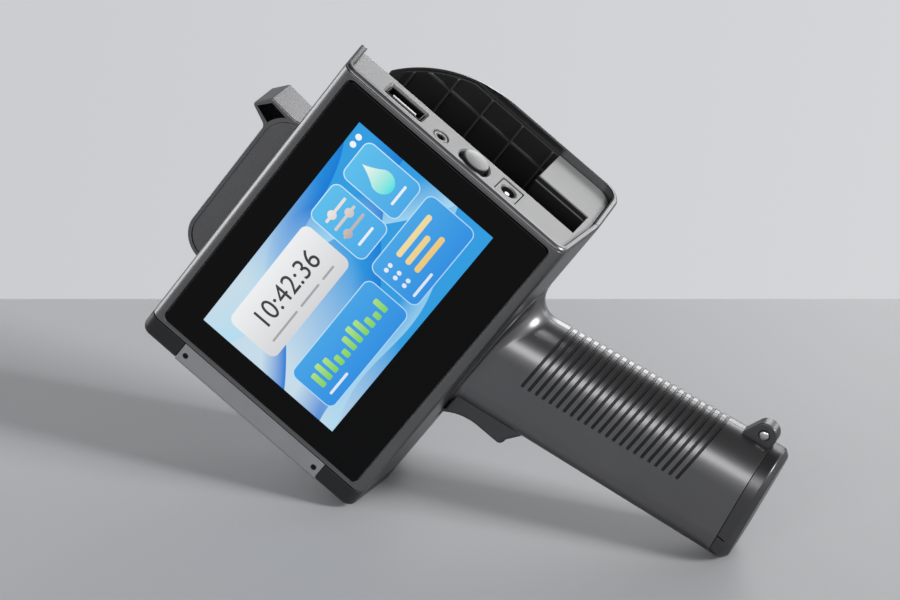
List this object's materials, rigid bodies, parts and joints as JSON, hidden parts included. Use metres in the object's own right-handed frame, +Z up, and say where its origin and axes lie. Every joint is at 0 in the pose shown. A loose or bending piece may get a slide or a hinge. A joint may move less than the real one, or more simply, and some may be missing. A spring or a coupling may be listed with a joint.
{
  "type": "handheld inkjet printer",
  "caption": "Pistol-grip hand printer with a tilted touch screen, print nose with rollers, open cartridge bay with a latch, rear sockets, trigger and grooved grip.",
  "frame": {"origin": "middle of the bounding box, on the surface that the printer lies on", "axes": "+Z up as it lies on its nose and the end of its grip; the screen faces -Y; the grip points towards +X"},
  "size_m": [0.2496, 0.0654, 0.1802],
  "materials": {
    "housing_plastic": "satin dark grey moulding",
    "panel_plastic": "satin mid grey moulding",
    "dark_plastic": "satin darker grey moulding",
    "black_plastic": "matt black moulding",
    "white_plastic": "white moulding",
    "screen_glass": "clear cover glass with a black border",
    "lcd": "lit colour display",
    "nose_steel": "bead-blasted steel",
    "bright_steel": "plain steel",
    "black_steel": "black oxide",
    "rubber": "matt",
    "circuit_board": "green solder resist",
    "battery_wrap": "shrink wrap"
  },
  "bodies": {
    "body": {"front_housing": "housing_plastic", "back_housing": "housing_plastic", "screen_frame": "housing_plastic", "screen_glass": "screen_glass", "lcd_panel": "lcd", "nose_cap": "dark_plastic", "nose_plate": "nose_steel", "nose_screw_1": "black_steel", "nose_screw_2": "black_steel", "nose_screw_3": "black_steel", "nose_screw_4": "black_steel", "guide_axle": "bright_steel", "encoder_axle": "bright_steel", "encoder_sensor": "circuit_board", "port_panel": "panel_plastic", "usb_socket": "bright_steel", "usb_tongue": "white_plastic", "sensor_jack": "black_plastic", "power_switch": "black_plastic", "dc_socket": "black_plastic", "dc_pin": "bright_steel", "main_board": "circuit_board", "processor": "black_plastic", "board_screw_1": "bright_steel", "board_screw_2": "bright_steel", "board_screw_3": "bright_steel", "board_screw_4": "bright_steel", "bay_liner": "black_plastic", "bay_floor": "black_plastic", "cartridge_dock": "black_plastic", "contact_board": "circuit_board", "latch_pin": "bright_steel", "latch_spring": "bright_steel", "trigger_pin": "bright_steel", "trigger_spring": "bright_steel", "trigger_switch": "black_plastic", "grip_end_cap": "housing_plastic", "battery_pack": "battery_wrap", "case_screw_1": "black_steel", "case_screw_2": "black_steel", "grip_screw_1": "black_steel", "grip_screw_2": "black_steel"},
    "trigger": {"trigger": "dark_plastic"},
    "latch": {"latch_lever": "housing_plastic"},
    "power_button": {"power_button": "panel_plastic"},
    "guide_roller": {"guide_roller": "rubber"},
    "encoder_roller": {"encoder_roller": "rubber"}
  },
  "joints": [
    {"name": "trigger_pull", "type": "hinge", "parent": "body", "child": "trigger", "pos_m": [0.00634, 0.00025, 0.04928], "axis": [0, -1, 0], "range_deg": [0, 9], "stiffness_Nm_per_rad": 0.15, "springref_deg": -11.46, "deforming": ["trigger_spring"]},
    {"name": "latch_lift", "type": "hinge", "parent": "body", "child": "latch", "pos_m": [-0.10022, -0.00225, 0.09073], "axis": [0, -1, 0], "range_deg": [0, 60], "stiffness_Nm_per_rad": 0.05, "springref_deg": -45.84, "deforming": ["latch_spring"]},
    {"name": "power_press", "type": "slide", "parent": "body", "child": "power_button", "axis": [-0.5464, 0, -0.8376], "range_m": [0, 0.001], "stiffness_N_per_m": 800, "springref_m": -0.002},
    {"name": "guide_spin", "type": "hinge", "parent": "body", "child": "guide_roller", "pos_m": [-0.11286, 0.00025, 0.05433], "axis": [-0.8376, 0, 0.5464], "continuous": true},
    {"name": "encoder_spin", "type": "hinge", "parent": "body", "child": "encoder_roller", "pos_m": [-0.04419, 0.00025, 0.00953], "axis": [-0.8376, 0, 0.5464], "continuous": true}
  ]
}
